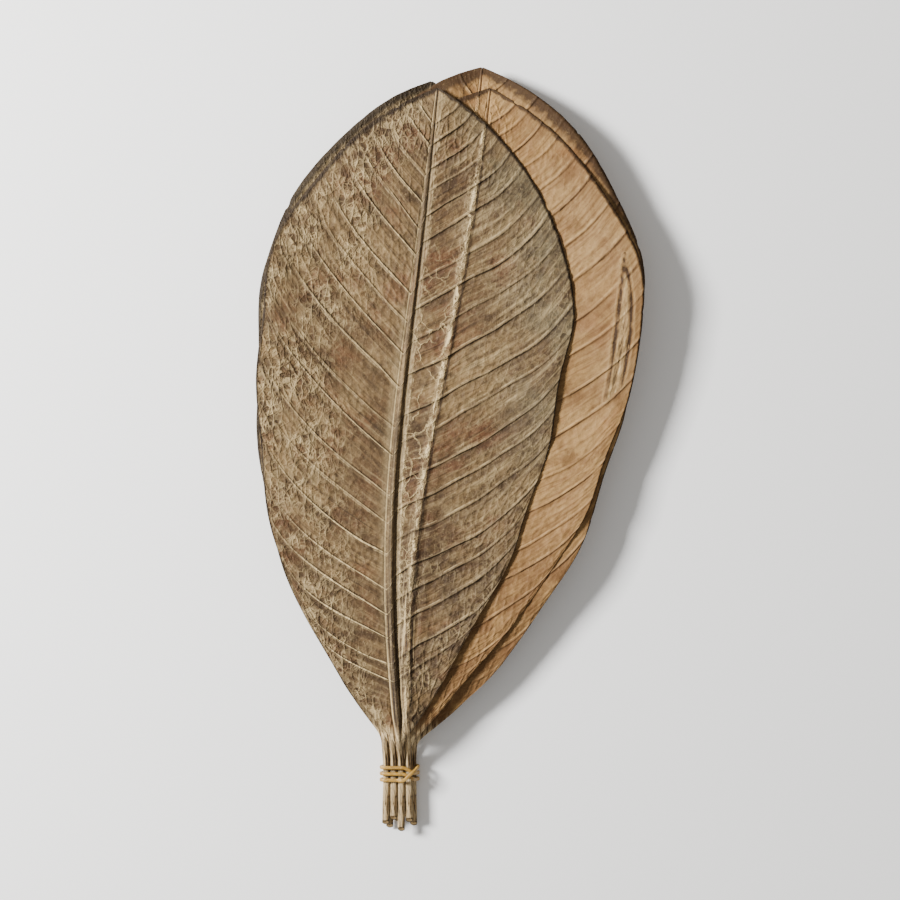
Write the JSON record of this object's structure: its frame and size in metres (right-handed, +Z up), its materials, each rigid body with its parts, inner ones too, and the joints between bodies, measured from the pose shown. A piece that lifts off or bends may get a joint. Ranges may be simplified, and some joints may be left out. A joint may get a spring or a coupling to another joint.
{
  "type": "dried magnolia leaf bundle",
  "caption": "Flat bundle of large dried magnolia leaves lying undersides up, with raised midribs and side veins, tied round the stems with a rubber band.",
  "frame": {"origin": "on the surface that the bundle lies on, under the middle of its box", "axes": "+Y from the cut stems to the leaf tips, +Z up from the surface, +X to the right seen from above"},
  "size_m": [0.1726, 0.3424, 0.0198],
  "materials": {
    "brown_leaf": "matt dried leaf, mottled brown, lighter veins, dark thin margin",
    "tan_leaf": "matt dried leaf, warm tan, thin dark side veins",
    "dark_leaf": "matt dried leaf, dark reddish brown",
    "grey_leaf": "matt dried leaf, greyish olive brown",
    "amber_rubber": "smooth, slightly glossy natural rubber"
  },
  "bodies": {
    "root": {"leaf_1": "brown_leaf", "leaf_2": "tan_leaf", "leaf_3": "tan_leaf", "leaf_4": "grey_leaf", "leaf_5": "brown_leaf", "leaf_6": "dark_leaf", "leaf_7": "brown_leaf", "leaf_8": "grey_leaf", "rubber_band": "amber_rubber"}
  },
  "joints": []
}
